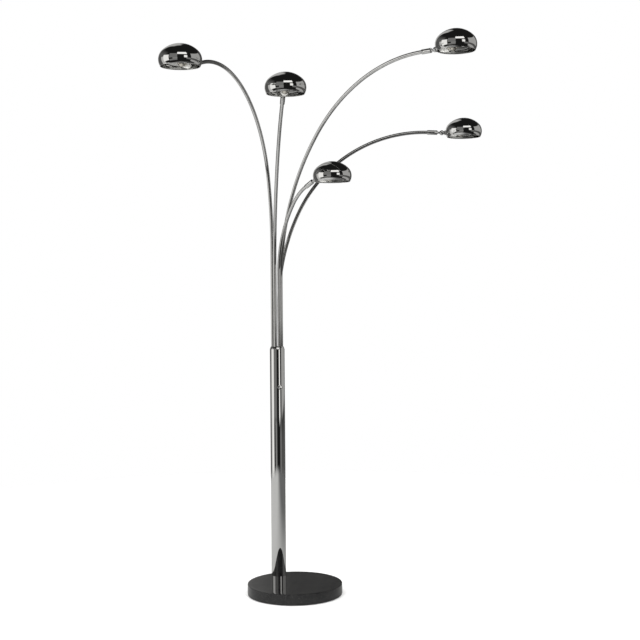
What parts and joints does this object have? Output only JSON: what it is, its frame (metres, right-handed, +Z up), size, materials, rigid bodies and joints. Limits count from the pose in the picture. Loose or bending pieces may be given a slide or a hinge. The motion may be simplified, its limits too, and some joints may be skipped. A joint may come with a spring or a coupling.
{
  "type": "arc floor lamp",
  "caption": "Floor lamp: heavy round stone base, off-centre chrome post and a fan of slender swivelling arc arms, each ending in a tilting chrome dome shade.",
  "frame": {"origin": "centre of the round base's underside, on the floor", "axes": "+Z up; -Y is the viewing side that the shades fan towards; the post stands off-centre, behind and left of the origin"},
  "size_m": [1.1423, 0.9649, 1.9887],
  "materials": {
    "stone": "polished black",
    "rubber": "matt",
    "steel": "zinc plated",
    "porcelain_white": "white",
    "chrome": "polished",
    "black_plastic": "matt",
    "opal_glass": "opal"
  },
  "bodies": {
    "stand": {"stone_base": "stone", "base_pad": "rubber", "cable_gland": "rubber", "rod_washer": "steel", "rod_nut": "steel", "foot_plug": "steel", "terminal_block": "porcelain_white", "post_tube": "chrome", "tie_rod": "steel", "crown_cap": "chrome", "crown_screw": "steel", "guide_plate": "steel", "guide_nuts": "steel", "dimmer_body": "black_plastic", "dimmer_nut": "chrome"},
    "dimmer": {"dimmer_spindle": "steel", "dimmer_knob": "chrome"},
    "arm_1": {"arm_tube_1": "chrome", "arm_fork_1": "chrome", "pivot_pin_1": "steel"},
    "shade_1": {"shade_knuckle_1": "chrome", "shade_1": "chrome", "shade_nut_1": "steel", "lampholder_1": "porcelain_white", "bulb_1": "opal_glass"},
    "arm_2": {"arm_tube_2": "chrome", "arm_fork_2": "chrome", "pivot_pin_2": "steel"},
    "shade_2": {"shade_knuckle_2": "chrome", "shade_2": "chrome", "shade_nut_2": "steel", "lampholder_2": "porcelain_white", "bulb_2": "opal_glass"},
    "arm_3": {"arm_tube_3": "chrome", "arm_fork_3": "chrome", "pivot_pin_3": "steel"},
    "shade_3": {"shade_knuckle_3": "chrome", "shade_3": "chrome", "shade_nut_3": "steel", "lampholder_3": "porcelain_white", "bulb_3": "opal_glass"},
    "arm_4": {"arm_tube_4": "chrome", "arm_fork_4": "chrome", "pivot_pin_4": "steel"},
    "shade_4": {"shade_knuckle_4": "chrome", "shade_4": "chrome", "shade_nut_4": "steel", "lampholder_4": "porcelain_white", "bulb_4": "opal_glass"},
    "arm_5": {"arm_tube_5": "chrome", "arm_fork_5": "chrome", "pivot_pin_5": "steel"},
    "shade_5": {"shade_knuckle_5": "chrome", "shade_5": "chrome", "shade_nut_5": "steel", "lampholder_5": "porcelain_white", "bulb_5": "opal_glass"}
  },
  "joints": [
    {"name": "dimmer_turn", "type": "hinge", "parent": "stand", "child": "dimmer", "pos_m": [-0.05265, 0.09477, 0.755], "axis": [0.342, -0.9397, 0], "range_deg": [0, 300]},
    {"name": "arm_1_swing", "type": "hinge", "parent": "stand", "child": "arm_1", "pos_m": [-0.07961, 0.12191, 0.908], "axis": [0, 0, 1], "range_deg": [-20, 2]},
    {"name": "shade_1_tilt", "type": "hinge", "parent": "arm_1", "child": "shade_1", "pos_m": [-0.31, -0.52872, 1.85552], "axis": [0.9426, -0.3338, 0], "range_deg": [-40, 40]},
    {"name": "arm_2_swing", "type": "hinge", "parent": "stand", "child": "arm_2", "pos_m": [-0.06966, 0.10963, 0.908], "axis": [0, 0, 1], "range_deg": [-8, 8]},
    {"name": "shade_2_tilt", "type": "hinge", "parent": "arm_2", "child": "shade_2", "pos_m": [-0.01883, -0.33653, 1.79567], "axis": [0.9936, 0.1132, 0], "range_deg": [-40, 40]},
    {"name": "arm_3_swing", "type": "hinge", "parent": "stand", "child": "arm_3", "pos_m": [-0.05398, 0.11156, 0.908], "axis": [0, 0, 1], "range_deg": [-8, 2]},
    {"name": "shade_3_tilt", "type": "hinge", "parent": "arm_3", "child": "shade_3", "pos_m": [0.08864, -0.03612, 1.52947], "axis": [0.7193, 0.6947, 0], "range_deg": [-40, 40]},
    {"name": "arm_4_swing", "type": "hinge", "parent": "stand", "child": "arm_4", "pos_m": [-0.0473, 0.12588, 0.908], "axis": [0, 0, 1], "range_deg": [-2, 10]},
    {"name": "shade_4_tilt", "type": "hinge", "parent": "arm_4", "child": "shade_4", "pos_m": [0.49678, -0.39043, 1.93078], "axis": [0.6884, 0.7254, 0], "range_deg": [-40, 40]},
    {"name": "arm_5_swing", "type": "hinge", "parent": "stand", "child": "arm_5", "pos_m": [-0.05591, 0.13913, 0.908], "axis": [0, 0, 1], "range_deg": [-3, 20]},
    {"name": "shade_5_tilt", "type": "hinge", "parent": "arm_5", "child": "shade_5", "pos_m": [0.57741, 0.20569, 1.72652], "axis": [-0.1045, 0.9945, 0], "range_deg": [-40, 40]}
  ]
}
